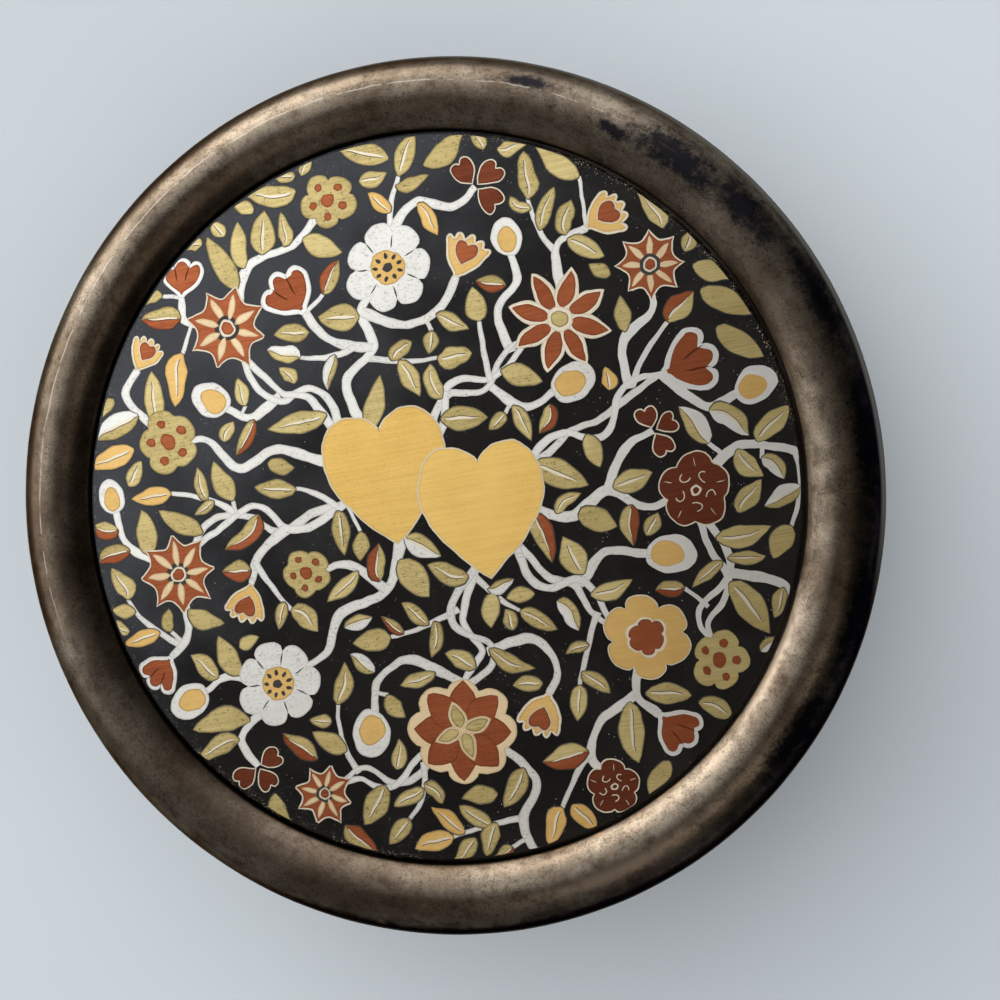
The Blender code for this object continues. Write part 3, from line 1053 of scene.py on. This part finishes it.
def plateMesh(shape, centre, level):
    # Top, under side and edge of one flat plate: a grid in quads, or an outline in triangles to its centre.
    # The last result is each point's distance in from the edge; lines two points wide count as all inside.
    if shape.ndim == 3:
        rows, columns = shape.shape[:2]
        flat = shape.reshape(-1, 2)
        half = np.hypot(*(shape[:, 0] - shape[:, -1]).T) / 2
        inward = np.outer(half, 1 - np.abs(np.linspace(-1, 1, columns))).ravel()
        if columns == 2:
            inward = np.ones(2 * rows)
        i = np.arange(rows * columns).reshape(rows, columns)
        top = np.stack([i[:-1, :-1], i[1:, :-1], i[1:, 1:], i[:-1, 1:]], -1).reshape(-1, 4)
        edge = np.concatenate([i[:, 0], i[-1, 1:], i[-2::-1, -1], i[0, -2:0:-1]])
    else:
        flat = np.vstack([shape, [centre]])
        inward = np.append(np.zeros(len(shape)), np.hypot(*(shape - centre).T).mean())
        edge = np.arange(len(shape))
        top = np.stack([np.full(len(shape), len(shape)), edge, np.roll(edge, -1)], -1)
    flat = fitted(flat)
    count = len(flat)
    after = np.roll(edge, -1)
    walls = np.stack([edge, edge + count, after + count, after], -1)
    points = np.vstack([np.c_[flat, np.full(count, discTop + level)],
                        np.c_[flat, np.full(count, discTop - inlayPlan["sink"])]])
    return points, top.tolist() + (top[:, ::-1] + count).tolist() + walls.tolist(), np.tile(inward, 2)


def makePlates(inlay, kind, material):
    # All plates of one metal in one piece, each with its own tone.
    points, faces, tones, inwards, start = [], [], [], [], 0
    for shape, centre, level, tone in inlay.plates[kind]:
        vertices, polygons, inward = plateMesh(shape, centre, level)
        points.append(vertices)
        faces += [[corner + start for corner in polygon] for polygon in polygons]
        tones.append(np.full(len(vertices), tone))
        inwards.append(inward)
        start += len(vertices)
    piece = addPiece("inlay_" + kind, np.vstack(points), faces, material)
    for name, values in (("tone", tones), ("inward", inwards)):
        layer = piece.data.attributes.new(name, "FLOAT", "POINT")
        layer.data.foreach_set("value", np.concatenate(values).astype(np.float32))


# Camera, floor and lights

view = {
    "aim": (7.07, -0.10, 34.0), "distance": 215.0, "azimuth": 9.3, "tilt": 11.06, "lens": 72.68,
}


def setCamera():
    up, across = cosSin(view["tilt"])
    c, s = cosSin(view["azimuth"])
    out = Vector((across * c, across * s, up))
    side = Vector((0, 1, 0)).cross(out).normalized()
    turn = Matrix((side, out.cross(side), out)).transposed()
    camera = addObject("camera", bpy.data.cameras.new("camera"))
    camera.data.lens = view["lens"]
    camera.data.sensor_width = 36
    camera.data.clip_start = 0.01
    place = (Vector(view["aim"]) + view["distance"] * out) * mm
    camera.matrix_world = Matrix.Translation(place) @ turn.to_4x4()
    bpy.context.scene.camera = camera


floorLooks = {"reach": 3.0, "dark": (0.325, 0.355, 0.382), "pale": (0.345, 0.375, 0.402)}   # metres


def addFloor():
    mesh = bpy.data.meshes.new("floor")
    reach = floorLooks["reach"]
    mesh.from_pydata([(-reach, -reach, 0), (reach, -reach, 0), (reach, reach, 0), (-reach, reach, 0)], [],
                     [(0, 1, 2, 3)])
    finish = Finish("paleFloor", {"Roughness": 0.8, "Specular IOR Level": 0.2})
    color = finish.mix(finish.noise(0.02, 2), floorLooks["dark"], floorLooks["pale"])
    mesh.materials.append(finish.set(color=color))
    floor = addObject("floor", mesh)


lighting = {
    "sideGlow": {"azimuth": 132, "elevation": 15, "from": 0.31, "to": 0.61, "color": (2.97, 3.01, 3.04)},
    "window": {"azimuth": 134, "elevation": 2, "from": 0.74, "to": 0.92, "color": (6.4, 6.2, 5.9)},
    "shade": {"azimuth": 0, "elevation": 88.6, "from": 0.50, "to": 0.99, "depth": 0.57},
    "corner": {"azimuth": 294, "elevation": 63, "from": 0.90, "to": 0.99, "color": (0.80, 0.70, 0.60)},
    "camera": {"azimuth": 300, "elevation": 84.0, "from": 0.95, "to": 0.995, "depth": 0.50},
    "far": {"azimuth": -4, "elevation": 5, "from": 0.20, "to": 0.64, "depth": 1.0},
    "low": (0.28, 0.28, 0.28),
    "dark": (0.035, 0.031, 0.027),
    "fill": {"place": (230, -60, 650), "size": 900, "watts": 5.9},
}


def pointing(azimuth, elevation):
    # Unit vector towards a place in the sky, both angles in degrees.
    c, s = cosSin(azimuth)
    across, up = cosSin(elevation)
    return (across * c, across * s, up)


def addSky():
    # A dim room with a broad glow on one side, a brighter window low in it, and darkness overhead and
    # opposite, but for a faint brown light in the near corner.
    world = bpy.data.worlds.new("room")
    world.use_nodes = True
    sky = Graph(world.node_tree)
    ray = sky.node("TexCoord", out="Generated")
    color = lighting["low"]
    for name in ("sideGlow", "shade", "far", "window", "corner", "camera"):
        part = lighting[name]
        lobe = sky.dot(ray, pointing(part["azimuth"], part["elevation"])).step(part["from"], part["to"])
        color = sky.mix(lobe * part.get("depth", 1.0), color, part.get("color", lighting["dark"]))
    connect(sky.tree, sky.tree.nodes["Background"].inputs[0], color)
    bpy.context.scene.world = world


def addFill():
    # A wide soft lamp overhead lifts the shadow on the floor; the metal doesn't mirror it.
    part = lighting["fill"]
    lamp = addObject("fill", bpy.data.lights.new("fill", "AREA"))
    lamp.data.size = part["size"] * mm
    lamp.data.energy = part["watts"]
    lamp.location = Vector(part["place"]) * mm
    lamp.visible_glossy = False


plated = agedSilver("rimSilver", 0.02, True)
plain = agedSilver("bodySilver", 0.0, False)
makeLid(plated)
makeBody(plain)
makeGround(lacquer())
print("shells done")

inlay = layInlay()
for kind in metals:
    makePlates(inlay, kind, inlayMetal(kind))
print("inlay done,", sum(len(plates) for plates in inlay.plates.values()), "plates")

setCamera()
addFloor()
addSky()
addFill()
bpy.context.scene.view_settings.view_transform = "Standard"
print("camera, floor and lights done")
